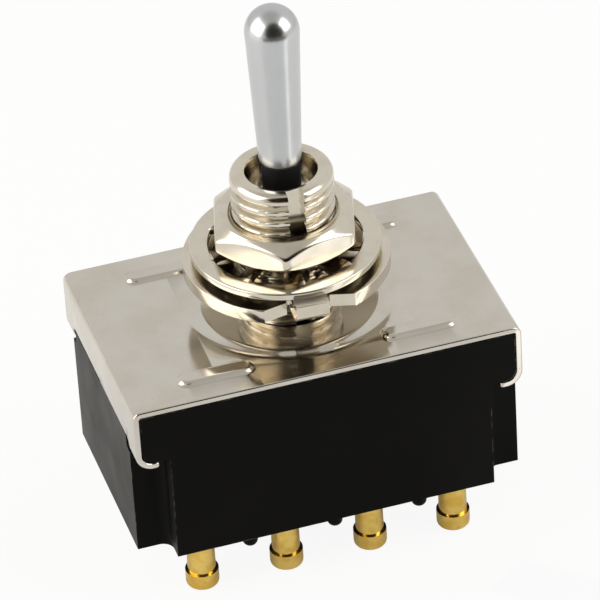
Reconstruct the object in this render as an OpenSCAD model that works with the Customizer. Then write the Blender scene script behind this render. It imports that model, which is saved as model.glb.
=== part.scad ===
// Miniature four-pole toggle switch for a panel, centre-off.
// The origin is on the bushing's axis at the mounting face, which is the top of
// the frame's raised boss. +Z points out of the panel and along the lever, X runs
// along the row of poles, and the lever swings in Y. Every size is in millimetres.

/* [Case] */
// Length of the case over its end slabs, along X
body_l = 22.9; // [22.8:0.05:24]
// Width of the case and of the frame, along Y
body_w = 14.66; // [14.6:0.02:16]
// Depth of the case's underside below the mounting face
case_depth = 10.85; // [10.8:0.05:12]
// Thickness of the case's floor
floor_t = 1.6; // [1.2:0.1:2]
// Length of the main block between the corner recesses
block_l = 19; // [18.9:0.05:19.2]
// Width of the end slabs between the corner recesses
slab_w = 11.7; // [11.2:0.05:11.8]
// Radius of the hollow corner where a slab meets the block
recess_r = 0.7; // [0.3:0.05:0.8]
// Diameter of the pips between the poles
pip_d = 0.9; // [0.6:0.05:1]
// Height of the pips under the case
pip_h = 0.85; // [0.4:0.05:1.2]

/* [Frame] */
// Thickness of the sheet
sheet_t = 0.35; // [0.3:0.01:0.4]
// Rise of the round boss above the plate
boss_rise = 0.3; // [0.2:0.05:0.4]
// Diameter of the boss's flat top, which is the mounting face
boss_d = 10.4; // [9.8:0.1:10.8]
// Depth of the end flanges below the plate's top
flange_h = 2.68; // [2.4:0.02:2.8]
// Width of each bent tab, along Y
tab_w = 1.43; // [1.2:0.01:1.45]
// Length of a tab under the case's shoulder, from the flange's outside
tab_l = 1.4; // [1.3:0.05:1.5]
// Outer radius of a tab's bend
tab_bend_r = 1; // [0.8:0.05:1.1]
// Outer radius of the long bends between plate and flange
bend_r = 0.5; // [0.45:0.05:0.7]
// Width of a stiffening rib at the plate
rib_w = 1.5; // [1.2:0.1:1.6]
// Height of a stiffening rib above the plate
rib_h = 0.3; // [0.2:0.05:0.4]
// Length of a stiffening rib over its round ends
rib_l = 4.65; // [4:0.05:5]
// Distance of a rib's middle from the bushing's axis, along X
rib_x = 6.03; // [5.8:0.01:6.3]
// Distance of a rib's middle from the bushing's axis, along Y
rib_y = 5.3; // [5.2:0.05:5.8]

/* [Bushing] */
// Outer diameter of the thread, M6 with a 0.75 pitch
thread_d = 5.9; // [5.8:0.02:6]
// Height of the bushing above the mounting face
bushing_h = 8.8; // [8.5:0.1:10]
// Diameter of the bore
bore_d = 4.05; // [4:0.01:4.1]
// Width of the keyway
keyway_w = 0.95; // [0.8:0.05:1.1]
// Depth of the keyway
keyway_d = 0.6; // [0.4:0.05:0.7]

/* [Lever] */
// Height of the lever's pivot above the mounting face
pivot_z = 4.9; // [4.8:0.05:5]
// Height of the lever's tip above the mounting face
tip_z = 19.5; // [17:0.1:22]
// Diameter of the bat at its thick end
tip_d = 3.08; // [2.8:0.02:3.4]
// Diameter of the bat at its foot
foot_d = 2.44; // [2.2:0.02:2.5]
// Height of the bat's foot above the mounting face
foot_z = 9.45; // [9.4:0.05:9.8]
// Swing of the lever to each side of its upright middle place, in degrees
swing_deg = 12; // [8:1:12]

/* [Hardware] */
// Size of the nut across its flats
nut_af = 7.9; // [7.8:0.1:8]
// Thickness of the nut
nut_t = 2; // [1.8:0.1:2.2]
// Turn of the nut on the bushing, in degrees
nut_turn = -16; // [-30:1:30]
// Outer diameter of the lock washer
washer_d = 10.9; // [10:0.1:11]
// Thickness of the lock washer
washer_t = 0.45; // [0.3:0.05:0.5]
// Number of teeth inside the lock washer
washer_teeth = 9; // [7:1:10]
// Twist of each tooth, in degrees
tooth_twist = 28; // [15:1:32]
// Outer diameter of the locating ring
ring_d = 11.85; // [11.5:0.05:12.5]
// Thickness of the locating ring
ring_t = 0.8; // [0.7:0.02:0.84]
// Height of the locating ring's underside above the mounting face
ring_z = 2.3; // [2.2:0.01:2.4]
// Width of the locating ring's upright tab
ring_tab_w = 1.9; // [1.5:0.05:2]
// Turn of the locating ring on the bushing, in degrees
ring_turn = -3; // [-3:1:3]

/* [Terminals] */
// Spacing of the poles along X, and of a pole's terminals along Y
pin_pitch = 5.08; // [5:0.01:5.1]
// Length of a terminal below the case
pin_l = 4; // [3:0.1:6]
// Diameter of a terminal's shaft
pin_d = 1.54; // [1.3:0.02:1.6]
// Diameter of the collar at a terminal's end
collar_d = 1.94; // [1.7:0.02:2.1]
// Height of the collar at a terminal's end
collar_h = 1.05; // [0.8:0.05:1.4]

/* [Mechanism] */
// Length of the lever below its pivot, to the middle of its driving ball
crank_l = 7.5; // [7.4:0.05:7.55]
// Width of the carriage, along Y
carriage_w = 4.4; // [4:0.1:4.6]
// Diameter of a plunger
plunger_d = 1.5; // [1.3:0.05:1.5]
// Rise of a rocker's arms from its middle, in degrees, which is also its tilt
rocker_deg = 8; // [6:1:8]
// Thickness of a rocker
rocker_t = 0.35; // [0.25:0.05:0.4]
// Width of a rocker
rocker_w = 2.4; // [2:0.1:2.4]
// Turns of wire in a plunger's spring
spring_turns = 4; // [3:1:5]

/* [Hidden] */
POLES = 4;
$fn = 48;

NICKEL = "#bdb7a8";
CHROME = "#c6c8ca";
PHENOLIC = "#171716";
NYLON = "#0f0f10";
GOLD = "#d8ae4a";
BRASS = "#b9975a";
STEEL = "#8f9296";
FIBRE = "#6b5a44";

fit_gap = 0.02;      // between pieces that are pressed or laid together
run_gap = 0.05;      // on the radius of a piece that slides or turns
eps = 0.01;          // lets cutters reach past a face

// heights, from the frame down
plate_z = -boss_rise;                 // top of the frame's plate
sheet_z = plate_z - sheet_t;          // underside of the plate
rim_z = sheet_z - fit_gap;            // top of the case's wall
fibre_t = 0.2;
fibre_z = rim_z - fibre_t;            // underside of the insulating sheet
flange_z = plate_z - flange_h;        // lower edge of the end flanges
shoulder_z = -3.9;                    // underside of the shoulder that the tabs hook
tab_z = shoulder_z - sheet_t - run_gap;  // lowest point of the tabs
square_z = tab_z - run_gap;           // from here down the case's ends are plain slabs
under_z = -case_depth;                // underside of the case
floor_z = under_z + floor_t;          // the case's floor, inside
pin_z = under_z - pin_l;              // tips of the terminals

fillet_r = 0.6;                       // where a tab leaves the flange

// the case's inside
cavity_l = 17.7;
cavity_w = 12.6;
pocket_l = 20.4;                      // over the end pockets that guide the carriage
pocket_w = 8.4;
fibre_l = body_l - 2 * bend_r;        // the insulating sheet, laid in the rim
fibre_w = cavity_w + 1;
pocket_z = -4.1;
lug_pocket_l = 18.6;                  // over the ends of the outer centre terminals
lug_pocket_w = 2.8;
wall_t = 0.5;                         // walls between the poles
wall_z = -7.35;

// hardware, stacked on the bushing from the locating ring up
washer_z = ring_z + 1.21;             // the ring's tab holds the washer up
nut_z = washer_z + 0.69;              // the twisted teeth hold the nut up
ring_top = ring_z + ring_t;

// the bushing below the mounting face
collar_r = 4.6;
collar_z = -1.6;
pin_r = 0.5;                          // pivot pin
ball_r = bore_d / 2 - 0.075;          // ball that the lever turns on
core_r = 0.7;                         // lever's core in its sleeve
sleeve_r = 1.1;
crank_r = 0.95;                       // ball that drives the carriage

// the carriage and what it carries
socket_z = pivot_z - crank_l;         // middle of the driving ball
carriage_top = -3.1;
carriage_z = -6.9;
ear_top = -1.15;
ear_l = 1.2;
spring_top = -3.5;
spring_z = -5.2;
wire_d = 0.22;
rocker_z = -7.9;                      // a rocker's underside, where it rocks
tip_gap = 0.1;
arm_l = 4.75;                         // a rocker's arm, along Y
contact_y = 4.3;                      // where a rocker meets an end terminal
contact_h = 0.25;

function pole_x(p) = (p - (POLES + 1) / 2) * pin_pitch;
function arc(x, z, r, a0, a1, n = 6) =
    [for (i = [0:n]) let (a = a0 + (a1 - a0) * i / n) [x + r * cos(a), z + r * sin(a)]];

module at_pole(p) { translate([pole_x(p), 0, 0]) children(); }
module each_corner() {
    for (sx = [-1, 1], sy = [-1, 1]) scale([sx, sy, 1]) children();
}

// ---- case and frame ----

// Outline of the case where its corners are recessed.
module recessed_plan(corner_r) {
    difference() {
        square([body_l, body_w], center = true);
        for (sx = [0, 1], sy = [0, 1]) mirror([sx, 0]) mirror([0, sy])
            translate([block_l / 2, slab_w / 2]) difference() {
                square([body_l, body_w]);
                difference() {
                    square(corner_r);
                    translate([corner_r, corner_r]) circle(corner_r);
                }
            }
    }
}

// Section of the case inside the flanges, in X and Z, rounded to suit their bends.
module shoulder_section() {
    half = body_l / 2 - sheet_t - run_gap;
    top_r = bend_r - sheet_t + run_gap;
    low_r = tab_bend_r - sheet_t + run_gap;
    right = concat(arc(half - top_r, rim_z - top_r, top_r, 90, 0),
                   arc(half - low_r, shoulder_z + low_r, low_r, 0, -90));
    mirrored = [for (i = [len(right) - 1:-1:0]) [-right[i][0], right[i][1]]];
    polygon(concat(right, mirrored));
}

module case_shell() {
    between_w = body_w - 2 * (tab_w + fillet_r + run_gap);
    across_y(body_w) shoulder_section();
    // between the tabs, below the flanges' edges
    translate([-body_l / 2, -between_w / 2, square_z])
        cube([body_l, between_w, flange_z - run_gap - square_z]);
    // beside the tabs, then below them
    translate([0, 0, square_z]) linear_extrude(shoulder_z - square_z)
        intersection() {
            recessed_plan(eps);
            square([body_l, body_w], center = true);
        }
    translate([0, 0, under_z]) linear_extrude(square_z - under_z)
        recessed_plan(recess_r);
}

module case_pips() {
    for (i = [-1:1], side = [-1, 1])
        translate([i * pin_pitch, side * (body_w / 2 - pip_d / 2 - 0.1), under_z - pip_h])
            cylinder(d = pip_d, h = pip_h);
}

module case() {
    color(PHENOLIC) {
        difference() {
            union() {
                case_shell();
                case_pips();
            }
            translate([-cavity_l / 2, -cavity_w / 2, floor_z])
                cube([cavity_l, cavity_w, case_depth]);
            translate([-pocket_l / 2, -pocket_w / 2, pocket_z])
                cube([pocket_l, pocket_w, case_depth]);
            translate([-lug_pocket_l / 2, -lug_pocket_w / 2, floor_z])
                cube([lug_pocket_l, lug_pocket_w, case_depth]);
            translate([-fibre_l / 2 - fit_gap, -fibre_w / 2 - fit_gap, fibre_z])
                cube([fibre_l + 2 * fit_gap, fibre_w + 2 * fit_gap, 1]);
            for (p = [1:POLES], row = [-1:1])
                translate([pole_x(p), row * pin_pitch, under_z - eps])
                    cylinder(d = pin_d + 2 * fit_gap, h = floor_t + 2 * eps);
        }
        for (i = [-1:1])
            translate([i * pin_pitch - wall_t / 2, -cavity_w / 2, floor_z])
                cube([wall_t, cavity_w, wall_z - floor_z]);
    }
}

// Section of the frame across its long bends, in X and Z.
module frame_section() {
    half = body_l / 2;
    inner_r = bend_r - sheet_t;
    cx = half - bend_r;
    cz = plate_z - bend_r;
    right = concat(arc(cx, cz, bend_r, 90, 0), [[half, flange_z], [half - sheet_t, flange_z]],
                   arc(cx, cz, inner_r, 0, 90));
    mirrored = [for (i = [len(right) - 1:-1:0]) [-right[i][0], right[i][1]]];
    polygon(concat(right, mirrored));
}

// Section of one tab at the +X end: down, round the bend and inwards.
module tab_section() {
    half = body_l / 2;
    cx = half - tab_bend_r;
    cz = tab_z + tab_bend_r;
    polygon(concat([[half - sheet_t, flange_z + eps], [half, flange_z + eps]],
                   arc(cx, cz, tab_bend_r, 0, -90, 10),
                   arc(half - tab_l, tab_z + sheet_t / 2, sheet_t / 2, -90, -270, 8),
                   arc(cx, cz, tab_bend_r - sheet_t, -90, 0, 10)));
}

module across_y(w) {
    rotate([90, 0, 0]) linear_extrude(w, center = true) children();
}

// A bar with round ends that a rib is pressed over.
module rib_bar(r, middle_z) {
    straight = rib_l - rib_w;
    translate([rib_x - straight / 2, rib_y, middle_z]) {
        rotate([0, 90, 0]) cylinder(r = r, h = straight);
        sphere(r);
        translate([straight, 0, 0]) sphere(r);
    }
}

// The sheet of the boss, from the hole out to the plate.
module boss_section() {
    top_r = boss_d / 2;
    slope = 0.55;
    hole_r = thread_d / 2 + fit_gap;
    steps = 8;
    function rise(u) = plate_z * (1 - cos(180 * u)) / 2;
    outer = [for (i = [0:steps]) [top_r + slope * i / steps, rise(i / steps)]];
    inner = [for (i = [steps:-1:0])
        [top_r - sheet_t * 0.4 + slope * i / steps, rise(i / steps) - sheet_t]];
    polygon(concat([[hole_r, 0]], outer, inner, [[hole_r, -sheet_t]]));
}

module frame() {
    rib_r = (pow(rib_w / 2, 2) + pow(rib_h, 2)) / (2 * rib_h);
    rib_z = plate_z + rib_h - rib_r;
    color(NICKEL) {
        difference() {
            union() {
                difference() {
                    across_y(body_w) frame_section();
                    translate([0, 0, sheet_z - eps])
                        cylinder(r = boss_d / 2 + 0.4, h = 2 * sheet_t);
                }
                each_corner() intersection() {
                    rib_bar(rib_r, rib_z);
                    translate([0, 0, sheet_z + eps]) cube([body_l, body_w, 2]);
                }
            }
            each_corner() intersection() {
                rib_bar(rib_r - sheet_t, rib_z);
                translate([0, 0, sheet_z - 1]) cube([body_l, body_w, 2]);
            }
        }
        rotate_extrude() boss_section();
        each_corner() {
            translate([0, (body_w - tab_w) / 2, 0]) across_y(tab_w) tab_section();
            tab_fillet();
        }
    }
}

// Sheet that fills the corner between a flange's lower edge and a tab.
module tab_fillet() {
    translate([body_l / 2 - sheet_t, body_w / 2 - tab_w - fillet_r, flange_z - fillet_r])
        rotate([90, 0, 90]) linear_extrude(sheet_t) difference() {
            square([fillet_r + eps, fillet_r + eps]);
            circle(fillet_r);
        }
}

module insulating_sheet() {
    color(FIBRE) translate([0, 0, fibre_z]) linear_extrude(fibre_t) difference() {
        square([fibre_l, fibre_w], center = true);
        circle(r = collar_r + run_gap);
    }
}

// ---- bushing, lever and the nut, washer and ring on the bushing ----

module bushing() {
    thread_r = thread_d / 2;
    bore_r = bore_d / 2;
    edge_r = 0.35;
    flare_r = 2.6;
    color(NICKEL) difference() {
        rotate_extrude() polygon(concat(
            [[flare_r, collar_z], [collar_r, collar_z], [collar_r, -sheet_t],
             [thread_r, -sheet_t]],
            arc(thread_r - edge_r, bushing_h - edge_r, edge_r, 0, 90),
            [[bore_r + 0.2, bushing_h], [bore_r, bushing_h - 0.2], [bore_r, 0.2]]));
        translate([-keyway_w / 2, -thread_r - eps, 0])
            cube([keyway_w, keyway_d + eps, bushing_h + eps]);
        translate([0, 0, pivot_z]) rotate([0, 90, 0])
            cylinder(r = pin_r, h = thread_d + 1, center = true);
    }
}

module pivot_pin() {
    pin_len = thread_d - 0.7;
    color(STEEL) translate([0, 0, pivot_z]) rotate([0, 90, 0])
        cylinder(r = pin_r, h = pin_len, center = true);
}

module toggle_lever() {
    tip_r = tip_d / 2;
    foot_r = foot_d / 2;
    foot_edge = 0.3;
    stem_top = 0.95;
    stem_low = 0.7;
    dome_z = tip_z - tip_r;
    color(CHROME) difference() {
        union() {
            // bat with its domed tip, on the core inside the sleeve
            rotate_extrude() polygon(concat(
                [[0, pivot_z], [core_r, pivot_z], [core_r, foot_z], [foot_r - foot_edge, foot_z]],
                arc(foot_r - foot_edge, foot_z + foot_edge, foot_edge, -90, 0, 4),
                arc(0, dome_z, tip_r, 0, 90, 16)));
            translate([0, 0, pivot_z]) sphere(ball_r);
            translate([0, 0, socket_z])
                cylinder(r1 = stem_low, r2 = stem_top, h = crank_l);
            translate([0, 0, socket_z]) sphere(crank_r);
        }
        translate([0, 0, pivot_z]) rotate([0, 90, 0])
            cylinder(r = pin_r + run_gap, h = 2 * bore_d, center = true);
    }
}

module lever_sleeve() {
    sleeve_z = pivot_z + ball_r + run_gap;
    color(NYLON) translate([0, 0, sleeve_z]) difference() {
        cylinder(r = sleeve_r, h = foot_z - sleeve_z);
        translate([0, 0, -eps]) cylinder(r = core_r + fit_gap, h = foot_z);
    }
}

module hex_nut() {
    corner_r = nut_af / sqrt(3);
    flat_r = 3.42;
    slope = 0.68;
    hole_r = thread_d / 2 + fit_gap;
    sink = 0.4;
    drop = (corner_r + 0.1 - flat_r) * slope;
    color(NICKEL) translate([0, 0, nut_z]) rotate(nut_turn + 30)
        intersection() {
            difference() {
                cylinder(r = corner_r, h = nut_t, $fn = 6);
                translate([0, 0, -eps]) cylinder(r = hole_r, h = nut_t + 1);
                for (top = [0, 1]) translate([0, 0, top * nut_t]) mirror([0, 0, 1 - top])
                    translate([0, 0, -sink]) cylinder(r1 = hole_r, r2 = hole_r + sink, h = sink + eps);
            }
            rotate_extrude() polygon([
                [0, 0], [flat_r, 0], [corner_r + 0.1, drop],
                [corner_r + 0.1, nut_t - drop], [flat_r, nut_t], [0, nut_t]]);
        }
}

// Internal-tooth lock washer: a flat band with teeth twisted out of its plane.
module lock_washer() {
    band_r = 4.4;
    tip_r = thread_d / 2 + 0.12;
    tooth_w = 1.15;
    color(NICKEL) translate([0, 0, washer_z]) {
        difference() {
            cylinder(d = washer_d, h = washer_t);
            translate([0, 0, -eps]) cylinder(r = band_r, h = 1);
        }
        for (i = [0:washer_teeth - 1])
            rotate(-100.5 + i * 360 / washer_teeth)
                translate([tip_r, 0, washer_t / 2]) rotate([tooth_twist, 0, 0])
                    translate([0, -tooth_w / 2, -washer_t / 2])
                        cube([band_r + 0.25 - tip_r, tooth_w, washer_t]);
    }
}

// Locating ring with a key inside and one tab bent up between two relief cuts.
module locating_ring() {
    outer_r = ring_d / 2;
    hole_r = thread_d / 2 + run_gap;
    root_r = 4.4;
    cut_in = ring_tab_w / 2 + 0.3; // half width of the relief beside the tab
    cut_out = 2.63;                // half width of the relief at the rim
    half = ring_tab_w / 2;
    face_r = 6.1;                  // outside of the upright tab
    bend = 0.55;                   // outer radius of the tab's bend
    color(NICKEL) translate([0, 0, ring_z]) rotate(ring_turn) {
        difference() {
            cylinder(r = outer_r, h = ring_t);
            translate([0, 0, -eps]) cylinder(r = hole_r, h = 1);
            for (side = [0, 1]) mirror([side, 0, 0]) translate([0, 0, -eps])
                linear_extrude(1) polygon([
                    [half - eps, -root_r], [half + 0.2, -root_r], [cut_in, -4.9],
                    [cut_out, -5.25], [cut_out, -7], [half - eps, -7]]);
            translate([-half, -face_r - 1, -eps])
                cube([ring_tab_w, face_r + 1 - root_r, 1]);
        }
        key_w = 0.6;
        translate([-key_w / 2, -hole_r - 0.3, 0])
            cube([key_w, 0.3 + keyway_d - 0.1, ring_t]);
        // tab: out, round its bend and up to the lock washer
        rotate([90, 0, 90]) linear_extrude(ring_tab_w, center = true)
            polygon(concat(
                [[-root_r, ring_t]],
                [[-root_r, 0]],
                arc(-face_r + bend, bend, bend, -90, -180),
                [[-face_r, washer_z - ring_z], [-face_r + ring_t, washer_z - ring_z]],
                arc(-face_r + ring_t + 0.12, ring_t + 0.12, 0.12, 180, 270, 4),
                [[-root_r - 0.2, ring_t]]));
    }
}

// ---- mechanism ----

module carriage() {
    travel_l = pocket_l - 0.3;
    bore_r = plunger_d / 2 + run_gap;
    boss_top = collar_z - 0.35;
    color(PHENOLIC) difference() {
        union() {
            translate([-cavity_l / 2 + 0.15, -carriage_w / 2, carriage_z])
                cube([cavity_l - 0.3, carriage_w, carriage_top - carriage_z]);
            for (side = [0, 1]) mirror([side, 0, 0])
                translate([travel_l / 2 - ear_l, -carriage_w / 2, pocket_z + run_gap])
                    cube([ear_l, carriage_w, ear_top - pocket_z - run_gap]);
            for (side = [0, 1]) mirror([side, 0, 0])
                translate([cavity_l / 2 - 1, -carriage_w / 2, pocket_z + run_gap])
                    cube([1.2, carriage_w, carriage_top - pocket_z - run_gap]);
            translate([0, 0, carriage_top - eps]) cylinder(r = 2.1, h = boss_top - carriage_top);
        }
        translate([0, 0, socket_z - crank_r - 0.4])
            cylinder(r = crank_r + run_gap, h = 5);
        for (p = [1:POLES]) at_pole(p) translate([0, 0, carriage_z - eps])
            cylinder(r = bore_r, h = spring_top - carriage_z + eps);
    }
}

module plunger(p) {
    r = plunger_d / 2;
    tip_z = rocker_z + rocker_t + tip_gap;
    stem_r = 0.38;
    color(BRASS) at_pole(p) rotate_extrude() polygon(concat(
        [[0, spring_z + 0.7], [stem_r, spring_z + 0.7], [stem_r, spring_z], [r, spring_z]],
        arc(0, tip_z + r, r, 0, -90, 10)));
}

// Round wire wound into a coil, closed with flat ends.
module plunger_spring(p) {
    sides = 6;
    per_turn = 12;
    steps = spring_turns * per_turn;
    wire_r = wire_d / 2;
    coil_r = plunger_d / 2 - wire_r;
    rise = spring_top - spring_z - wire_d;
    function ring(i) = let (a = 360 * i / per_turn) [
        for (k = [0:sides - 1]) let (b = 360 * k / sides, r = coil_r + wire_r * cos(b))
            [r * cos(a), r * sin(a), spring_z + wire_r + rise * i / steps + wire_r * sin(b)]];
    points = [for (i = [0:steps]) each ring(i)];
    walls = [for (i = [0:steps - 1], k = [0:sides - 1])
        let (a = i * sides + k, b = i * sides + (k + 1) % sides)
            [a, b, b + sides, a + sides]];
    first = [for (k = [sides - 1:-1:0]) k];
    last = [for (k = [0:sides - 1]) steps * sides + k];
    color(STEEL) at_pole(p) polyhedron(points, concat(walls, [first, last]), convexity = 6);
}

// Movable contact: a shallow V of strip with a contact under each arm.
module rocker(p) {
    rise = tan(rocker_deg);
    upright = rocker_t / cos(rocker_deg);
    color(GOLD) at_pole(p) {
        rotate([90, 0, 90]) linear_extrude(rocker_w, center = true) polygon([
            [-arm_l, rocker_z + arm_l * rise], [0, rocker_z], [arm_l, rocker_z + arm_l * rise],
            [arm_l, rocker_z + arm_l * rise + upright], [0, rocker_z + upright],
            [-arm_l, rocker_z + arm_l * rise + upright]]);
        for (side = [-1, 1])
            translate([0, 0, rocker_z]) rotate([side * rocker_deg, 0, 0])
                translate([0, side * contact_y, -contact_h])
                    cylinder(r = 0.6, h = contact_h + 0.1);
    }
}

// Shaft of a terminal with a rounded collar at its end.
module terminal_pin(top_z) {
    edge = 0.25;
    rotate_extrude() polygon(concat(
        [[0, top_z], [pin_d / 2, top_z], [pin_d / 2, pin_z + collar_h],
         [collar_d / 2, pin_z + collar_h]],
        arc(collar_d / 2 - edge, pin_z + edge, edge, 0, -90, 4), [[0, pin_z]]));
}

// Middle terminal: its head carries a ridge that the rocker rocks on.
module center_terminal(p) {
    plate_t = 0.45;
    ridge_r = 0.25;
    ridge_z = rocker_z - run_gap;
    lug_x = rocker_w / 2 + 0.07;
    lug_t = 0.3;
    color(GOLD) at_pole(p) {
        terminal_pin(floor_z);
        translate([-lug_x - lug_t, -1.3, floor_z]) cube([2 * (lug_x + lug_t), 2.6, plate_t]);
        translate([-rocker_w / 2, -ridge_r, floor_z])
            cube([rocker_w, 2 * ridge_r, ridge_z - ridge_r - floor_z]);
        translate([-rocker_w / 2, 0, ridge_z - ridge_r]) rotate([0, 90, 0])
            cylinder(r = ridge_r, h = rocker_w);
        for (side = [0, 1]) mirror([side, 0, 0])
            translate([lug_x, -0.8, floor_z]) cube([lug_t, 1.6, carriage_z - 0.1 - floor_z]);
    }
}

// Outer terminal: its head carries the fixed contact. side is -1 in front, 1 behind.
module end_terminal(p, side) {
    plate_t = 0.45;
    button_top = rocker_z - contact_h - run_gap;
    color(GOLD) at_pole(p) scale([1, side, 1]) {
        translate([0, pin_pitch, 0]) terminal_pin(floor_z);
        translate([-1.2, 3.6, floor_z]) cube([2.4, 2.5, plate_t]);
        translate([0, contact_y, floor_z]) cylinder(r = 0.6, h = button_top - floor_z);
    }
}

case();
frame();
insulating_sheet();
bushing();
pivot_pin();
toggle_lever();
lever_sleeve();
hex_nut();
lock_washer();
locating_ring();
carriage();
for (p = [1:POLES]) {
    plunger(p);
    plunger_spring(p);
    rocker(p);
    center_terminal(p);
    end_terminal(p, -1);
    end_terminal(p, 1);
}
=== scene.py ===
import math

import bmesh
import bpy
from mathutils import Matrix, Vector


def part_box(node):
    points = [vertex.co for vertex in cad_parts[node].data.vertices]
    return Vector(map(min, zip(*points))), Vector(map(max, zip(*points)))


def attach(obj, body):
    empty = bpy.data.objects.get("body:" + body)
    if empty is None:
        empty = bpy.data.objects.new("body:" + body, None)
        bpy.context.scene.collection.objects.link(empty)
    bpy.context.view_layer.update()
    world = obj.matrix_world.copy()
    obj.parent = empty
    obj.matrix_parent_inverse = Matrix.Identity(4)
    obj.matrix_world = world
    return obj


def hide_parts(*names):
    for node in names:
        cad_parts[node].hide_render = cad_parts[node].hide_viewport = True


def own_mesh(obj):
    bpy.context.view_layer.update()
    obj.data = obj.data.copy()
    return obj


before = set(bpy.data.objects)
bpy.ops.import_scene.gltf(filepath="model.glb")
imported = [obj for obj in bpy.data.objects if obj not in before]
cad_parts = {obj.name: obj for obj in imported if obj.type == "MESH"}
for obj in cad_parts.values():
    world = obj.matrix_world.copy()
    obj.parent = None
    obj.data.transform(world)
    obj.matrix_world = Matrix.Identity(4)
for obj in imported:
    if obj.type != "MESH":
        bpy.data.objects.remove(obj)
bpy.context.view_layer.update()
scene = bpy.context.scene
mm = 0.001
twoPi = 2 * math.pi


def linearColour(code):
    parts = [int(code[i:i + 2], 16) / 255 for i in (1, 3, 5)]
    return [c / 12.92 if c <= 0.04045 else ((c + 0.055) / 1.055) ** 2.4 for c in parts] + [1.0]


# adds one shader node: settings go to its properties or sockets, links to its sockets
def addNode(tree, kind, settings=None, links=None):
    node = tree.nodes.new("ShaderNode" + kind)
    for key, value in (settings or {}).items():
        if isinstance(key, str) and hasattr(node, key):
            setattr(node, key, value)
        else:
            node.inputs[key].default_value = value
    for key, socket in (links or {}).items():
        tree.links.new(socket, node.inputs[key])
    return node


def startMaterial(name, settings):
    material = bpy.data.materials.new(name)
    material.use_nodes = True
    tree = material.node_tree
    tree.nodes.clear()
    shader = addNode(tree, "BsdfPrincipled", settings)
    addNode(tree, "OutputMaterial", links={"Surface": shader.outputs[0]})
    place = addNode(tree, "TexCoord").outputs["Object"]
    return material, tree, shader, place


# a plated or bare metal: slightly cloudy tone, uneven polish, tool or rolling marks and shallow waviness
def metalFinish(name, look):
    material, tree, shader, place = startMaterial(name, {"Metallic": 1.0})
    fields = {}
    for key, detail in (("cloud", 3), ("speck", 2), ("marks", 4), ("wave", 1)):
        scale = [1 / (mm * look[key + "Mm"] * s) for s in look.get(key + "Stretch", (1, 1, 1))]
        spread = addNode(tree, "Mapping", {"Scale": scale}, {"Vector": place})
        fields[key] = addNode(tree, "TexNoise", {"Scale": 1.0, "Detail": detail, "Roughness": 0.55},
                              {"Vector": spread.outputs[0]}).outputs[0]
    aged = addNode(tree, "MapRange", {"interpolation_type": "SMOOTHSTEP", "From Min": 0.38, "From Max": 0.66},
                   {"Value": fields["cloud"]})
    plated = addNode(tree, "Mix", {"data_type": "RGBA", 6: linearColour(look["clean"]), 7: linearColour(look["dull"])},
                     {0: aged.outputs[0]})
    specked = addNode(tree, "MapRange", {"From Min": 0.68, "From Max": 0.78, "To Max": look["speckShare"]},
                      {"Value": fields["speck"]})
    tone = addNode(tree, "Mix", {"data_type": "RGBA", 7: linearColour(look["speck"])},
                   {0: specked.outputs[0], 6: plated.outputs[2]})
    tree.links.new(tone.outputs[2], shader.inputs["Base Color"])
    low, high = look["roughness"]
    polish = addNode(tree, "MapRange", {"From Min": 0.3, "From Max": 0.75, "To Min": low, "To Max": (low + high) / 2},
                     {"Value": fields["cloud"]})
    drawn = addNode(tree, "MapRange", {"From Min": 0.4, "From Max": 0.75, "To Max": (high - low) / 2},
                    {"Value": fields["marks"]})
    rough = addNode(tree, "Math", {"operation": "ADD"}, {0: polish.outputs[0], 1: drawn.outputs[0]})
    tree.links.new(rough.outputs[0], shader.inputs["Roughness"])
    waves = addNode(tree, "Bump", {"Distance": look["waveDepthMm"] * mm}, {"Height": fields["wave"]})
    lines = addNode(tree, "Bump", {"Distance": look["marksDepthMm"] * mm},
                    {"Height": fields["marks"], "Normal": waves.outputs[0]})
    tree.links.new(lines.outputs[0], shader.inputs["Normal"])
    return material


# bright nickel on rolled steel sheet: nearly a mirror, a little yellower than steel,
# with shallow waviness from pressing; the rolling lines are finer than 0.1 mm and drawn at 0.14 so that they show
nickelSheetLook = {
    "clean": "#dad6ce", "dull": "#d4cec4", "speck": "#a2988a", "speckShare": 0.3, "speckMm": 0.22,
    "cloudMm": 3.5, "marksMm": 0.14, "marksStretch": (7, 1, 1), "marksDepthMm": 0.0002,
    "waveMm": 2.6, "waveDepthMm": 0.0025, "roughness": (0.1, 0.18),
}
# bright nickel on turned brass: fine rings round the axis left by the lathe, drawn coarser than their real 0.03 mm
nickelTurnedLook = {
    "clean": "#e0dacd", "dull": "#d8d0c0", "speck": "#9a8b6e", "speckShare": 0.25, "speckMm": 0.2,
    "cloudMm": 1.8, "marksMm": 0.09, "marksStretch": (14, 14, 1), "marksDepthMm": 0.0006,
    "waveMm": 0.9, "waveDepthMm": 0.0006, "roughness": (0.12, 0.22),
}
# polished chrome: a cool mirror with hardly any texture
chromeLook = {
    "clean": "#ced1d4", "dull": "#cacdd1", "speck": "#9a9c9f", "speckShare": 0.15, "speckMm": 0.12,
    "cloudMm": 2.5, "marksMm": 0.1, "marksStretch": (1, 1, 9), "marksDepthMm": 0.0002,
    "waveMm": 1.6, "waveDepthMm": 0.0002, "roughness": (0.23, 0.27),
}
# gold plate on turned brass: warm, and the lathe's rings show through it, again drawn coarser than they are
goldLook = {
    "clean": "#f2d278", "dull": "#e3bb59", "speck": "#9a6d22", "speckShare": 0.3, "speckMm": 0.16,
    "cloudMm": 0.9, "marksMm": 0.07, "marksStretch": (12, 12, 1), "marksDepthMm": 0.0008,
    "waveMm": 0.4, "waveDepthMm": 0.0015, "roughness": (0.14, 0.3),
}
# bare turned brass, duller and rougher than the gold
brassLook = dict(goldLook, clean="#c7a566", dull="#ab8748", roughness=(0.25, 0.4))
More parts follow.
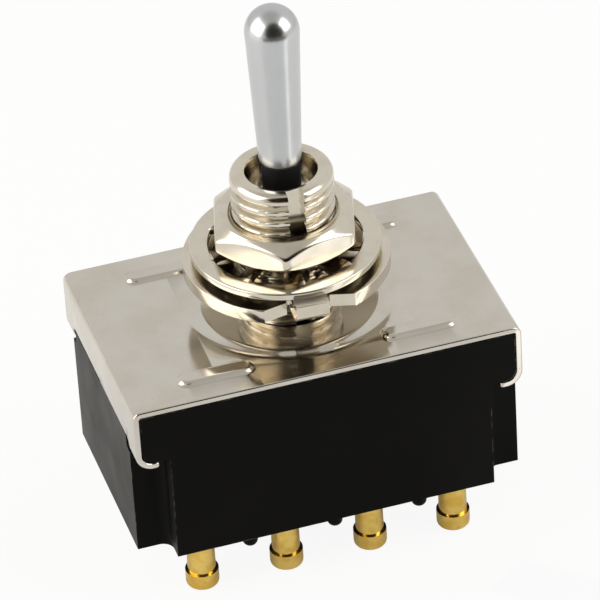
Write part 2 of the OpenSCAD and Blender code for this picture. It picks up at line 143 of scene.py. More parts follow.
# drawn steel wire and pin stock: grey, with marks along it
steelLook = dict(chromeLook, clean="#a7a9ac", dull="#8f9194", roughness=(0.28, 0.45))


# moulded or pressed plastic: cloudy skin, fine grain with paler filler in it, and corners rubbed pale
def mouldedFinish(name, look):
    settings = {"Metallic": 0.0, "IOR": 1.5, "Specular IOR Level": look["gloss"],
                "Sheen Weight": look["bloom"], "Sheen Roughness": 0.3}
    material, tree, shader, place = startMaterial(name, settings)
    fields = {}
    for key, detail in (("cloud", 3), ("grain", 3), ("wave", 1), ("rub", 4)):
        spread = addNode(tree, "Mapping", {"Scale": [1 / (mm * look[key + "Mm"])] * 3}, {"Vector": place})
        fields[key] = addNode(tree, "TexNoise", {"Scale": 1.0, "Detail": detail, "Roughness": 0.55},
                              {"Vector": spread.outputs[0]}).outputs[0]
    aged = addNode(tree, "MapRange", {"From Min": 0.35, "From Max": 0.7}, {"Value": fields["cloud"]})
    skin = addNode(tree, "Mix", {"data_type": "RGBA", 6: linearColour(look["base"]), 7: linearColour(look["greyed"])},
                   {0: aged.outputs[0]})
    filled = addNode(tree, "MapRange", {"From Min": 0.66, "From Max": 0.76, "To Max": look["fillerShare"]},
                     {"Value": fields["grain"]})
    speckled = addNode(tree, "Mix", {"data_type": "RGBA", 7: linearColour(look["filler"])},
                       {0: filled.outputs[0], 6: skin.outputs[2]})
    rounded = addNode(tree, "Bevel", {"samples": 6, "Radius": look["edgeMm"] * mm})
    true = addNode(tree, "NewGeometry").outputs["Normal"]
    turn = addNode(tree, "VectorMath", {"operation": "DOT_PRODUCT"}, {0: rounded.outputs[0], 1: true})
    edge = addNode(tree, "MapRange", {"From Min": 0.995, "From Max": 0.9}, {"Value": turn.outputs["Value"]})
    patchy = addNode(tree, "MapRange", {"From Min": 0.5, "From Max": 0.68, "To Max": look["rubShare"]},
                     {"Value": fields["rub"]})
    rubbed = addNode(tree, "Math", {"operation": "MULTIPLY"}, {0: edge.outputs[0], 1: patchy.outputs[0]})
    tone = addNode(tree, "Mix", {"data_type": "RGBA", 7: linearColour(look["rubbed"])},
                   {0: rubbed.outputs[0], 6: speckled.outputs[2]})
    tree.links.new(tone.outputs[2], shader.inputs["Base Color"])
    low, high = look["roughness"]
    rough = addNode(tree, "MapRange", {"From Min": 0.3, "From Max": 0.7, "To Min": low, "To Max": high},
                    {"Value": fields["cloud"]})
    tree.links.new(rough.outputs[0], shader.inputs["Roughness"])
    waves = addNode(tree, "Bump", {"Distance": look["waveDepthMm"] * mm}, {"Height": fields["wave"]})
    grain = addNode(tree, "Bump", {"Distance": look["grainDepthMm"] * mm},
                    {"Height": fields["grain"], "Normal": waves.outputs[0]})
    tree.links.new(grain.outputs[0], shader.inputs["Normal"])
    return material


# black phenolic, compression-moulded: deep satin black with fine pale filler, a bloom seen along its sides,
# and small pale rubs on its corners
phenolicLook = {
    "base": "#080808", "greyed": "#0c0c0b", "filler": "#2c2a26", "fillerShare": 0.25, "gloss": 0.06, "bloom": 0.1,
    "rubbed": "#8c8a84", "rubShare": 0.6, "rubMm": 0.8, "edgeMm": 0.12,
    "cloudMm": 4.0, "grainMm": 0.16, "grainDepthMm": 0.003, "waveMm": 2.4, "waveDepthMm": 0.006,
    "roughness": (0.3, 0.42),
}
# smooth moulded nylon: even black with a low waxy shine
nylonLook = dict(phenolicLook, base="#0c0c0d", greyed="#131314", filler="#222223", rubShare=0.1, gloss=0.3,
                 roughness=(0.45, 0.6))
# pressed vulcanised fibre: matt brown with paler strands
fibreLook = dict(phenolicLook, base="#6b5a44", greyed="#7c6a51", filler="#a08c6c", rubShare=0.1, gloss=0.4,
                 roughness=(0.7, 0.85))

# where the nickel ends at a sheared edge: grey, torn and dull
shearedLook = dict(nickelSheetLook, clean="#cfcac2", dull="#b9b3a9", speckShare=0.6, marksMm=0.08,
                   marksStretch=(1, 1, 3), marksDepthMm=0.004, roughness=(0.4, 0.55))
# the lock washer's tongues, in darkened and browned nickel: painted shade for the gap under the nut
teethShadeLook = dict(nickelTurnedLook, clean="#7d6f5a", dull="#5c4f3d", speck="#3c3226", speckShare=0.5,
                 roughness=(0.2, 0.32))

nickelSheet = metalFinish("brightNickelSheet", nickelSheetLook)
nickelTurned = metalFinish("brightNickelTurned", nickelTurnedLook)
chrome = metalFinish("polishedChrome", chromeLook)
gold = metalFinish("goldPlate", goldLook)
brass = metalFinish("turnedBrass", brassLook)
steel = metalFinish("drawnSteel", steelLook)
phenolic = mouldedFinish("mouldedPhenolic", phenolicLook)
nylon = mouldedFinish("mouldedNylon", nylonLook)
fibre = mouldedFinish("pressedFibre", fibreLook)
sheared = metalFinish("shearedNickel", shearedLook)
# painted shade for the washer's tongues under the nut
paintedShade = metalFinish("paintedShadeTeeth", teethShadeLook)
print("materials ready")


# a piece of the switch: its mesh, finish, body and the solids it stands for
def addPiece(name, mesh, material, body, nodes, sharpDegrees=35, weighted=False):
    mesh.name = name
    piece = bpy.data.objects.new(name, mesh)
    scene.collection.objects.link(piece)
    mesh.materials.clear()
    mesh.materials.append(material)
    mesh.shade_smooth()
    mesh.set_sharp_from_angle(angle=math.radians(sharpDegrees))
    if weighted:
        modifier = piece.modifiers.new("evenShading", "WEIGHTED_NORMAL")
        modifier.keep_sharp = True
        modifier.weight = 100
    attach(piece, body)
    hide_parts(*nodes)
    print("made", name, len(mesh.polygons), "faces")
    return piece


# gives a second finish to the faces whose centre, in mm, passes a test
def refinish(piece, material, passes):
    piece.data.materials.append(material)
    for polygon in piece.data.polygons:
        if passes(polygon.center / mm):
            polygon.material_index = len(piece.data.materials) - 1


# joins rows of points, in mm, into closed tubes; each part's rows wrap round, or are capped where they end open
def meshFrom(parts):
    shape = bmesh.new()
    for rows, wrapRows in parts:
        made = [[shape.verts.new(Vector(p) * mm) for p in row] for row in rows]
        count = len(made)
        for i in range(count if wrapRows else count - 1):
            a, b = made[i], made[(i + 1) % count]
            for k in range(len(a)):
                n = (k + 1) % len(a)
                shape.faces.new((a[k], a[n], b[n], b[k]))
        if not wrapRows:
            for row, flip in ((made[0], True), (made[-1], False)):
                if (Vector(row[0].co) - Vector(row[len(row) // 2].co)).length > 1e-7:
                    shape.faces.new(reversed(row) if flip else row)
    bmesh.ops.remove_doubles(shape, verts=shape.verts, dist=1e-8)
    bmesh.ops.recalc_face_normals(shape, faces=shape.faces)
    mesh = bpy.data.meshes.new("shape")
    shape.to_mesh(mesh)
    shape.free()
    return mesh


def onCircle(r, a):
    return r * math.cos(a), r * math.sin(a)


# a profile of radii and heights, turned about the Z axis
def turned(profile, segments):
    return [[(*onCircle(r, twoPi * k / segments), z) for k in range(segments)] for r, z in profile]


def between(low, high, count):
    return [low + (high - low) * i / count for i in range(count + 1)]


def arcPoints(x, z, r, fromDegrees, toDegrees, steps):
    return [(x + r * math.cos(math.radians(a)), z + r * math.sin(math.radians(a)))
            for a in between(fromDegrees, toDegrees, steps)]


# smooth step from 0 to 1
def eased(t):
    return t * t * (3 - 2 * t)


def clamped(t):
    return min(max(t, 0), 1)


# a long lens from above the front left corner; the place is in mm
camera = {"place": (-65.79, -240.76, 178.41), "right": (0.95224, -0.30095, -0.05148),
          "up": (0.21560, 0.54339, 0.81132), "lensMm": 322.84, "sensorMm": 36.0, "clipM": (0.01, 10)}
right, up = Vector(camera["right"]).normalized(), Vector(camera["up"]).normalized()
back = right.cross(up).normalized()
up = back.cross(right)
lens = bpy.data.cameras.new("camera")
lens.sensor_width, lens.lens = camera["sensorMm"], camera["lensMm"]
lens.clip_start, lens.clip_end = camera["clipM"]
viewer = bpy.data.objects.new("camera", lens)
axes = Matrix((right, up, back)).transposed().to_4x4()
viewer.matrix_world = Matrix.Translation(Vector(camera["place"]) * mm) @ axes
scene.collection.objects.link(viewer)
scene.camera = viewer
scene.view_settings.view_transform = "Standard"

# a white tent lit from both sides, open and dark towards the viewer, with white paper under the switch
studio = {"wall": "#f4f2ee", "wallStrength": 0.82, "ceiling": "#cfccc6", "ceilingHeights": (0.7, 1.0),
          "openSide": "#2b2117", "openAzimuth": -96, "openElevation": 24, "openCosines": (0.72, 0.81),
          "paper": "#f4f4f3", "paperHalf": 1500, "paperWhite": 0.92, "paperMirrored": 0.2, "matt": 0.9,
          "cardSteps": 8, "cardLift": 0.1}
# sheets laid on the paper, seen only in the plating: azimuths in degrees, distances in mm
cards = {
    "frontSheet": {"azimuths": (-152, -57), "distances": (22, 125), "colour": "#e3e5e6", "glow": 0.05},
    "frontReflector": {"azimuths": (-57, -44), "distances": (14, 125), "colour": "#ffffff", "glow": 0.4},
    "openFloor": {"azimuths": (-142, -48), "distances": (125, 600), "colour": "#2b2117", "glow": 0.0},
}
# softboxes: where each stands round the switch, its size in mm and its radiance
lamps = {
    "leftBox": {"azimuth": -181, "elevation": 28, "distance": 260, "size": (280, 240), "radiance": 2.15,
                "tint": "#fffaf2"},
    "rightBox": {"azimuth": -31, "elevation": 36, "distance": 250, "size": (160, 180), "radiance": 2.35,
                 "tint": "#fffaf2"},
}


# a point in mm seen from the origin at an azimuth and an elevation in degrees
def aimed(azimuth, elevation, distance):
    a, e = math.radians(azimuth), math.radians(elevation)
    return Vector((math.cos(a) * math.cos(e), math.sin(a) * math.cos(e), math.sin(e))) * distance


def flatStage(name, corners):
    mesh = bpy.data.meshes.new(name)
    mesh.from_pydata(corners, [], [range(len(corners))])
    flat = bpy.data.objects.new(name, mesh)
    scene.collection.objects.link(flat)
    return flat


def buildWalls(look):
    world = bpy.data.worlds.new("studio")
    scene.world = world
    world.use_nodes = True
    tree = world.node_tree
    tree.nodes.clear()
    step = {"interpolation_type": "SMOOTHSTEP"}
    direction = addNode(tree, "TexCoord").outputs["Generated"]
    height = addNode(tree, "SeparateXYZ", links={0: direction}).outputs["Z"]
    low, full = look["ceilingHeights"]
    high = addNode(tree, "MapRange", {**step, "From Min": low, "From Max": full}, {"Value": height})
    tent = addNode(tree, "Mix", {"data_type": "RGBA", 6: linearColour(look["wall"]), 7: linearColour(look["ceiling"])},
                   {0: high.outputs[0]})
    openWay = aimed(look["openAzimuth"], look["openElevation"], 1)
    facing = addNode(tree, "VectorMath", {"operation": "DOT_PRODUCT", 1: openWay}, {0: direction})
    low, full = look["openCosines"]
    opened = addNode(tree, "MapRange", {**step, "From Min": low, "From Max": full}, {"Value": facing.outputs["Value"]})
    tone = addNode(tree, "Mix", {"data_type": "RGBA", 7: linearColour(look["openSide"])},
                   {0: opened.outputs[0], 6: tent.outputs[2]})
    room = addNode(tree, "Background", {"Strength": look["wallStrength"]}, {"Color": tone.outputs[2]})
    white = addNode(tree, "Background", {"Color": (1, 1, 1, 1), "Strength": 1.0})
    path = addNode(tree, "LightPath")
    choose = addNode(tree, "MixShader",
                     links={0: path.outputs["Is Camera Ray"], 1: room.outputs[0], 2: white.outputs[0]})
    addNode(tree, "OutputWorld", links={"Surface": choose.outputs[0]})


# matt white paper, lifted towards white for the camera so that the shadow stays but the ground doesn't grey
def layPaper(look, z):
    half = look["paperHalf"]
    corners = [(x * half * mm, y * half * mm, z) for x, y in ((-1, -1), (1, -1), (1, 1), (-1, 1))]
    floor = flatStage("floor", corners)
    material, tree, shader, _ = startMaterial("whitePaper", {"Roughness": look["matt"],
                                                             "Base Color": linearColour(look["paper"])})
    glow = addNode(tree, "Emission", {"Color": (1, 1, 1, 1), "Strength": 1.0})
    path = addNode(tree, "LightPath")
    mirrored = addNode(tree, "Math", {"operation": "MULTIPLY", 1: look["paperMirrored"]},
                       {0: path.outputs["Is Glossy Ray"]})
    share = addNode(tree, "Math", {"operation": "MULTIPLY_ADD", 1: look["paperWhite"]},
                    {0: path.outputs["Is Camera Ray"], 2: mirrored.outputs[0]})
    mixed = addNode(tree, "MixShader", links={0: share.outputs[0], 1: shader.outputs[0], 2: glow.outputs[0]})
    output = next(n for n in tree.nodes if n.bl_idname == "ShaderNodeOutputMaterial")
    tree.links.new(mixed.outputs[0], output.inputs["Surface"])
    floor.data.materials.append(material)


# each card is a flat piece of a ring round the switch, lying a little above the one before
def layCard(name, card, look, z):
    turns = between(*card["azimuths"], look["cardSteps"])
    near, far = card["distances"]
    corners = [aimed(a, 0, far) for a in turns] + [aimed(a, 0, near) for a in reversed(turns)]
    flat = flatStage(name, [(p.x * mm, p.y * mm, z) for p in corners])
    settings = {"Base Color": linearColour(card["colour"]), "Roughness": look["matt"],
                "Emission Color": (1, 1, 1, 1), "Emission Strength": card["glow"]}
    flat.data.materials.append(startMaterial(name, settings)[0])
    flat.visible_camera = flat.visible_diffuse = False


def addLamp(name, look):
    light = bpy.data.lights.new(name, "AREA")
    light.shape = "RECTANGLE"
    light.size, light.size_y = look["size"][0] * mm, look["size"][1] * mm
    light.energy = look["radiance"] * math.pi * light.size * light.size_y
    light.color = linearColour(look["tint"])[:3]
    place = aimed(look["azimuth"], look["elevation"], look["distance"]) * mm
    lamp = bpy.data.objects.new(name, light)
    lamp.matrix_world = Matrix.Translation(place) @ (-place).to_track_quat("-Z", "Y").to_matrix().to_4x4()
    scene.collection.objects.link(lamp)


buildWalls(studio)
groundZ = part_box("front_terminal_1")[0].z
layPaper(studio, groundZ)
for index, (name, card) in enumerate(cards.items()):
    layCard(name, card, studio, groundZ + studio["cardLift"] * mm * (index + 1))
for name, look in lamps.items():
    addLamp(name, look)
print("studio ready")


# the lever is one turned piece: crank end, stem, pivot ball, core in its sleeve, and the bat with its domed tip
lever = {"pivotZ": 4.9, "ballR": 1.95, "coreR": 0.7, "footZ": 9.3, "footR": 1.22, "footEdge": 0.3,
         "tipR": 1.54, "tipZ": 19.5, "crankZ": -2.6, "crankR": 0.95, "crankSweep": 47, "stemTopR": 0.95,
         "sideAt": (0.1, 0.35, 0.7, 0.95), "crankSteps": 14, "ballSteps": 24, "footSteps": 8, "domeSteps": 28,
         "segments": 96}


def makeLever(s):
    edge, footZ, domeZ = s["footEdge"], s["footZ"], s["tipZ"] - s["tipR"]
    crank = arcPoints(0, s["crankZ"], s["crankR"], -90, s["crankSweep"], s["crankSteps"])
    ballFrom = math.degrees(math.asin(s["stemTopR"] / s["ballR"])) - 90
    ballTo = 90 - math.degrees(math.asin(s["coreR"] / s["ballR"]))
    ball = arcPoints(0, s["pivotZ"], s["ballR"], ballFrom, ballTo, s["ballSteps"])
    foot = [(s["coreR"], footZ)] + arcPoints(s["footR"] - edge, footZ + edge, edge, -90, 0, s["footSteps"])
    side = [(s["footR"] + (s["tipR"] - s["footR"]) * t, footZ + edge + (domeZ - footZ - edge) * t)
            for t in s["sideAt"]]
    dome = arcPoints(0, domeZ, s["tipR"], 0, 90, s["domeSteps"])
    rows = turned(crank + ball + foot + side + dome, s["segments"])
    addPiece("leverBat", meshFrom([(rows, False)]), chrome, "lever", ["toggle_lever"], 50)


makeLever(lever)


# the bushing's M6 x 0.75 thread, cut by a keyway at the front
bushing = {"threadR": 2.95, "rootR": 2.5, "pitch": 0.75, "rootFlat": 0.04, "flank": 0.7, "plainZ": 7.9, "fade": 0.3,
           "topZ": 8.8, "lowZ": -0.45, "rim": 0.45, "faceR": 2.352, "boreR": 2.025, "boreEdge": 0.2, "boreRound": 0.06,
           "keyHalf": 0.475, "keyDepth": 0.6, "keySteps": (0, 0.25, 0.5, 0.75, 1),
           "collarR": 4.6, "collarZ": -1.6, "flareR": 2.6, "segments": 180, "rowsPerPitch": 16}


def makeBushing(s):
    keyAngle = -math.pi / 2

    def outline(radiusAt):       # one level of the bushing, opened at the keyway
        atKey = radiusAt(keyAngle)
        start = math.asin(s["keyHalf"] / atKey)
        points = []
        for k in range(s["segments"] + 1):
            a = keyAngle + start + (twoPi - 2 * start) * k / s["segments"]
            points.append(onCircle(radiusAt(a), a))
        for t in s["keySteps"]:
            x = s["keyHalf"] * (2 * t - 1)
            points.append((x, -min(s["threadR"] - s["keyDepth"], math.sqrt(atKey ** 2 - x * x))))
        return points

    def threadR(a, z):
        t = (z / s["pitch"] - a / twoPi) % 1.0
        slope = clamped((1 - abs(2 * t - 1) - s["rootFlat"]) / s["flank"])
        plain = clamped((z - s["plainZ"]) / s["fade"])           # the end of the thread is turned away
        crest = max(0.5 - 0.5 * math.cos(math.pi * slope), plain)
        overRim = max(z - s["topZ"] + s["rim"], 0)
        limit = s["threadR"] - s["rim"] + math.sqrt(max(s["rim"] ** 2 - overRim ** 2, 0))
        return min(s["rootR"] + (s["threadR"] - s["rootR"]) * crest, limit)

    boreR, topZ, collarR, collarZ = s["boreR"], s["topZ"], s["collarR"], s["collarZ"]
    inside = [(collarR, s["lowZ"]), (collarR, collarZ), (s["flareR"], collarZ), (boreR, s["boreEdge"]),
              (boreR, topZ - s["boreEdge"]), (boreR + s["boreRound"], topZ - s["boreRound"]),
              (boreR + s["boreEdge"], topZ), (s["faceR"], topZ)]
    rows = [[(x, y, z) for x, y in outline(lambda a: r)] for r, z in inside]
    steps = int((topZ - s["lowZ"]) / s["pitch"] * s["rowsPerPitch"])
    for z in between(topZ, s["lowZ"], steps):
        rows.append([(x, y, z) for x, y in outline(lambda a: threadR(a, z))])
    addPiece("threadedBushing", meshFrom([(rows, True)]), nickelTurned, "housing", ["bushing"], 42)


makeBushing(bushing)


# both of the nut's faces are coned, so each of its sides is a lens
nut = {"flatHalf": 3.95, "flatR": 3.64, "slope": 0.74, "thick": 2.0, "z": 4.2, "boreR": 2.97, "sink": 0.16, "lip": 0.02,
       "turn": -16, "edgePower": 70, "cornerPower": 60, "segments": 240, "levels": 64}


def makeNut(s):
    corner, edge, thick, sink = s["cornerPower"], s["edgePower"], s["thick"], s["sink"]

    # high powers blend the three pairs of sides, and then the cones, with slightly rounded edges
    def radius(a, z):
        sides = [abs(math.cos(a - math.radians(s["turn"]) - math.radians(60 * k))) ** corner for k in range(3)]
        hexagon = sum(sides) ** (1 / corner) / s["flatHalf"]
        cone = 1 / (s["flatR"] + min(z, thick - z) / s["slope"])
        return (hexagon ** edge + cone ** edge) ** (-1 / edge)

    angles = [twoPi * k / s["segments"] for k in range(s["segments"])]
    sinkR = s["boreR"] + sink
    hole = [(sinkR, thick - s["lip"]), (s["boreR"], thick - sink), (s["boreR"], sink), (sinkR, s["lip"])]
    rows = [[(*onCircle(r, a), s["z"] + z) for a in angles] for r, z in hole]
    rows += [[(*onCircle(radius(a, z), a), s["z"] + z) for a in angles] for z in between(0, thick, s["levels"])]
    addPiece("hexNut", meshFrom([(rows, True)]), nickelTurned, "housing", ["hex_nut"], 60)


makeNut(nut)


# the lock washer is a flat band with nine tongues that twist as they run in
washer = {"outerR": 5.45, "bandR": 4.4, "rootR": 4.65, "tipR": 3.07, "z": 3.51, "thick": 0.45, "edge": 0.08,
          "teeth": 9, "firstDegrees": -100.5, "twistDegrees": 28, "twistOver": 0.45,
          "rootWidth": 1.25, "tipWidth": 1.02, "toothSteps": 12, "segments": 144}


def makeWasher(s):
    edge = s["edge"]
    middleZ, halfThick = s["z"] + s["thick"] / 2, s["thick"] / 2

    # a rectangle with rounded corners, from its lower right corner round
    def section(middle, half, steps):
        points = []
        for sideX, sideZ, start in ((1, -1, -90), (1, 1, 0), (-1, 1, 90), (-1, -1, 180)):
            points += arcPoints(middle[0] + sideX * (half[0] - edge), middle[1] + sideZ * (half[1] - edge), edge,
                                start, start + 90, steps)
        return points

    bandMiddle, bandHalf = (s["outerR"] + s["bandR"]) / 2, (s["outerR"] - s["bandR"]) / 2
    parts = [(turned(section((bandMiddle, middleZ), (bandHalf, halfThick), 3), s["segments"]), True)]
    for tooth in range(s["teeth"]):
        turn = Matrix.Rotation(math.radians(s["firstDegrees"] + tooth * 360 / s["teeth"]), 3, "Z")
        rows = []
        for u in between(0, 1, s["toothSteps"]):
            twist = Matrix.Rotation(math.radians(s["twistDegrees"]) * eased(min(u / s["twistOver"], 1)), 2)
            half = (s["rootWidth"] + (s["tipWidth"] - s["rootWidth"]) * u) / 2, halfThick
            row = []
            for point in section((0, 0), half, 2):
                across, lift = twist @ Vector(point)
                row.append(turn @ Vector((s["rootR"] + (s["tipR"] - s["rootR"]) * u, across, middleZ + lift)))
            rows.append(row)
        parts.append((rows, False))
    piece = addPiece("lockWasher", meshFrom(parts), nickelTurned, "housing", ["lock_washer"], 50)
    # the tongues take the darkened finish, which is painted shade for the gap under the nut
    refinish(piece, paintedShade, lambda centre: centre.xy.length < s["bandR"] - 0.02)


makeWasher(washer)


# the frame starts as a flat blank with rolled edges, is drawn up into its boss and ribs, then folded
sheet = {"half": 11.45, "halfWidth": 7.33, "thick": 0.35, "plateZ": -0.3, "bendR": 0.5, "flangeZ": -2.98,
         "tabZ": -4.3, "tabBendR": 1.0, "tabEnd": 10.05, "tabFrom": 5.9, "fillet": 0.6, "tabCorner": 0.25,
         "rolled": 0.09, "burr": 0.03, "holeR": 2.97, "holeEdge": 0.06, "fineness": 1e-5,
         "bossR": 5.15, "bossSlope": 0.8, "bossLean": 0.75, "bossRise": 0.3, "bossInsets": (0.06, 0.3),
         "holeMargins": (0.5, 0.06), "discR": 6.0, "discSteps": 128,
         "ribX": 6.03, "ribY": 5.3, "ribStraight": 1.575, "ribHalf": 0.74, "ribSlope": 0.33, "ribRise": 0.24,
         "bendSteps": 8, "curlSteps": 12, "ribSteps": 40, "ribAcross": 14, "bossSteps": 12}


def makeFrame(s):
    bendEnd = s["half"] - s["bendR"] + s["bendR"] * math.pi / 2
    bendZ = s["plateZ"] - s["bendR"]
    flangeEnd = bendEnd + bendZ - s["flangeZ"]
    curlStart = bendEnd + bendZ - (s["tabZ"] + s["tabBendR"])
    curlEnd = curlStart + s["tabBendR"] * math.pi / 2
    tip = curlEnd + s["half"] - s["tabBendR"] - s["tabEnd"]

    def drawn(x, y):             # how far the die has lifted the sheet
        r = math.hypot(x, y)
        down = clamped((r - s["bossR"]) / s["bossSlope"]) ** s["bossLean"]
        boss = s["bossRise"] * (0.5 + 0.5 * math.cos(math.pi * down))
        d = math.hypot(max(abs(abs(x) - s["ribX"]) - s["ribStraight"], 0), abs(y) - s["ribY"])
        return boss + s["ribRise"] * eased(clamped((s["ribHalf"] - d) / s["ribSlope"]))

    def folded(u, v, n):
        side, a = (1 if u >= 0 else -1), abs(u)
        flat = s["half"] - s["bendR"]
        if a <= flat:
            x, z, nx, nz = a, s["plateZ"] + drawn(u, v), 0, 1
        elif a <= bendEnd:
            p = (a - flat) / s["bendR"]
            x, z, nx, nz = flat + s["bendR"] * math.sin(p), bendZ + s["bendR"] * math.cos(p), math.sin(p), math.cos(p)
        elif a <= curlStart:
            x, z, nx, nz = s["half"], bendZ - (a - bendEnd), 1, 0
        elif a <= curlEnd:
            p = (a - curlStart) / s["tabBendR"]
            x, z = s["half"] - s["tabBendR"] * (1 - math.cos(p)), s["tabZ"] + s["tabBendR"] * (1 - math.sin(p))
            nx, nz = math.cos(p), -math.sin(p)
        else:
            x, z, nx, nz = s["half"] - s["tabBendR"] - (a - curlEnd), s["tabZ"], 0, -1
        return Vector((side * (x + n * nx), v, z + n * nz)) * mm

    w, f, c, tabFrom = s["halfWidth"], s["fillet"], s["tabCorner"], s["tabFrom"]
    end = [(flangeEnd, 0)]
    end += arcPoints(flangeEnd + f, tabFrom - f, f, 180, 90, 8)
    end += arcPoints(tip - c, tabFrom + c, c, -90, 0, 5)
    end += arcPoints(tip - c, w - c, c, 0, 90, 5)
    outer = end + [(-u, v) for u, v in reversed(end)]
    turns = [twoPi * k / s["discSteps"] for k in range(s["discSteps"])]
    disc = [onCircle(s["discR"], twoPi * k / s["discSteps"]) for k in range(s["discSteps"] // 2, -1, -1)]
    blank = bmesh.new()
    rolledEdges, burrEdges = [], []
    for flip in (1, -1):
        loop = [(u, v * flip) for u, v in outer + disc][::flip]
        top = [blank.verts.new((u, v, 0)) for u, v in loop]
        low = [blank.verts.new((u, v, -s["thick"])) for u, v in loop]
        blank.faces.new(top)
        blank.faces.new(low[::-1])
        first = 0 if flip > 0 else len(disc)
        for k in range(first, first + len(outer) - 1):
            wall = blank.faces.new((top[k], low[k], low[k + 1], top[k + 1]))
            rolledEdges.append(wall.edges[3])
            burrEdges.append(wall.edges[1])
    bmesh.ops.remove_doubles(blank, verts=blank.verts, dist=s["fineness"])
    rolledEdges = [e for e in rolledEdges if e.is_valid]
    bmesh.ops.bevel(blank, geom=rolledEdges, offset=s["rolled"], segments=3, profile=0.5, affect="EDGES")
    burrEdges = [e for e in burrEdges if e.is_valid]
    bmesh.ops.bevel(blank, geom=burrEdges, offset=s["burr"], segments=1, profile=0.5, affect="EDGES")

    # rows of cuts wherever the sheet will bend
    reach = s["ribStraight"] + s["ribHalf"]
    cuts = between(s["half"] - s["bendR"], bendEnd, s["bendSteps"]) + between(curlStart, curlEnd, s["curlSteps"])
    cuts += between(s["ribX"] - reach, s["ribX"] + reach, s["ribSteps"])
    across = between(s["ribY"] - s["ribHalf"], s["ribY"] + s["ribHalf"], s["ribAcross"])
    for places, normal in ((cuts, (1, 0, 0)), (across, (0, 1, 0))):
        for at in places:
            for side in (-1, 1):
                bmesh.ops.bisect_plane(blank, geom=blank.verts[:] + blank.edges[:] + blank.faces[:], dist=s["fineness"],
                                       plane_co=[side * at * n for n in normal], plane_no=normal)

    # the round boss fills the disc left open in the blank, from its foot in to the hole
    foot, holeR, thick = s["bossR"] + s["bossSlope"], s["holeR"], s["thick"]
    radii = [s["discR"]] + between(foot, s["bossR"], s["bossSteps"])
    radii += [s["bossR"] - inset for inset in s["bossInsets"]] + [holeR + margin for margin in s["holeMargins"]]
    levels = [(r, 0) for r in radii] + [(holeR, -s["holeEdge"]), (holeR, -thick)]
    levels += [(r, -thick) for r in reversed(radii)]
    rings = [[blank.verts.new((*onCircle(r, a), n)) for a in turns] for r, n in levels]
    for a, b in zip(rings, rings[1:]):
        for k in range(s["discSteps"]):
            n = (k + 1) % s["discSteps"]
            blank.faces.new((a[k], a[n], b[n], b[k]))
    for vert in blank.verts:
        vert.co = folded(*vert.co)
    bmesh.ops.remove_doubles(blank, verts=blank.verts, dist=2e-8)
    bmesh.ops.recalc_face_normals(blank, faces=blank.faces)
    mesh = bpy.data.meshes.new("foldedFrame")
    blank.to_mesh(mesh)
    blank.free()
    addPiece("foldedFrame", mesh, nickelSheet, "housing", ["frame"], 36, weighted=True)


makeFrame(sheet)


def edgesOver(shape, degrees):
    return [e for e in shape.edges if len(e.link_faces) == 2 and e.calc_face_angle(0) > math.radians(degrees)]


# width is the most that edges are rounded by, in mm: all of them get less where short ones would overlap
def roundEdges(shape, edges, width, segments):
    bmesh.ops.bevel(shape, geom=edges, offset=width * mm, segments=segments, profile=0.5, affect="EDGES",
                    clamp_overlap=True)


# the solid's own shape, with its triangles joined into flat faces
def solidShape(node):
    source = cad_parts[node].data
    shape = bmesh.new()
    made = [shape.verts.new(v.co) for v in source.vertices]
    for polygon in source.polygons:
        shape.faces.new([made[i] for i in polygon.vertices])
    bmesh.ops.remove_doubles(shape, verts=shape.verts, dist=2e-7)
    bmesh.ops.dissolve_limit(shape, angle_limit=math.radians(0.6), verts=shape.verts, edges=shape.edges)
    bmesh.ops.recalc_face_normals(shape, faces=shape.faces)
    return shape


def finishShape(shape, name, material, node, edgeMm):
    roundEdges(shape, edgesOver(shape, 28), edgeMm, 2)
    mesh = bpy.data.meshes.new(name)
    shape.to_mesh(mesh)
    shape.free()
    return addPiece(name, mesh, material, "housing", [node], 38, weighted=True)


# the pips under the case are short and domed; its edges get 0.004 mm of their 0.09, as some are very short
case = {"edge": 0.09, "pipsShorter": 0.12, "pipsDomed": 0.4}


def makeCase(s):
    shape = solidShape("case")
    lowest = min(v.co.z for v in shape.verts) + 0.01 * mm
    ends = [v for v in shape.verts if v.co.z < lowest]
    for vert in ends:
        vert.co.z += s["pipsShorter"] * mm
    roundEdges(shape, [e for e in shape.edges if all(v in ends for v in e.verts)], s["pipsDomed"], 6)
    finishShape(shape, "mouldedCase", phenolic, "case", s["edge"])


makeCase(case)


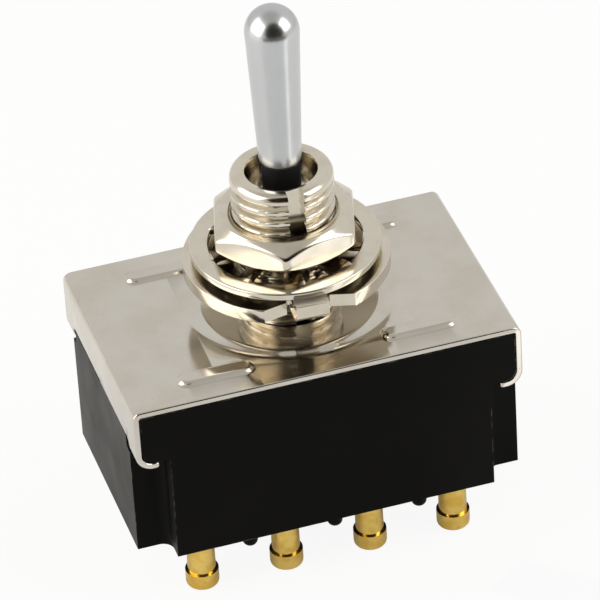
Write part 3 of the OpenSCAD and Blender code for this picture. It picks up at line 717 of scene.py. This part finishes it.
# the stamped ring has a sheared end on its tab; its rim gets 0.05 mm of its roll and its other edges 0.008 mm
ring = {"edge": 0.05, "rolled": 0.3, "rolledFromR": 5.9, "rolledAboveZ": 3.05, "shearedAboveZ": 3.45}


def makeRing(s):
    shape = solidShape("locating_ring")
    rim = [e for e in edgesOver(shape, 60)
           if all(v.co.xy.length > s["rolledFromR"] * mm and v.co.z > s["rolledAboveZ"] * mm for v in e.verts)]
    roundEdges(shape, rim, s["rolled"], 6)
    piece = finishShape(shape, "locatingRing", nickelTurned, "locating_ring", s["edge"])
    refinish(piece, sheared, lambda centre: centre.z > s["shearedAboveZ"])


makeRing(ring)


# the springs are copied from their solids unchanged, in drawn steel
springs = {"count": 4, "topZ": -3.5, "lowZ": -5.2, "travel": 0.4}


def makeSprings(s):
    for k in range(1, s["count"] + 1):
        node = f"plunger_spring_{k}"
        spring = addPiece(f"plungerSpring{k}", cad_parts[node].data.copy(), steel, "carriage", [node], 50)
        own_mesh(spring)


makeSprings(springs)


# the round pins, with their shanks a little thicker than the solids' so that less of the collar's ledge shows
pins = {"shankR": 0.77, "thickR": 0.83, "near": 0.02, "aboveTip": 3.2}


def makePins(s):
    for name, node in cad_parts.items():
        kind, isPin, number = name.partition("_terminal_")
        if not isPin:
            continue
        mesh = node.data.copy()
        tip = min(v.co.z for v in mesh.vertices)
        foot = [v.co for v in mesh.vertices if v.co.z < tip + 0.01 * mm]
        axis = (sum(foot, Vector()) / len(foot)).xy
        for vert in mesh.vertices:
            out = vert.co.xy - axis
            if abs(out.length / mm - s["shankR"]) < s["near"] and vert.co.z < tip + s["aboveTip"] * mm:
                vert.co.xy = axis + out * s["thickR"] / s["shankR"]
        addPiece(f"{kind}Pin{number}", mesh, gold, "housing", [name], 30)


makePins(pins)


# solids that stay as they are, in their own finishes
finishes = {"insulating_sheet": fibre, "pivot_pin": steel, "lever_sleeve": nylon, "carriage": nylon,
            "plunger_": brass, "rocker_": gold}
for name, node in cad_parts.items():
    for start, material in finishes.items():
        if name.startswith(start):
            for slot in node.material_slots:
                slot.material = material
print("finishes given to the solids that stay")
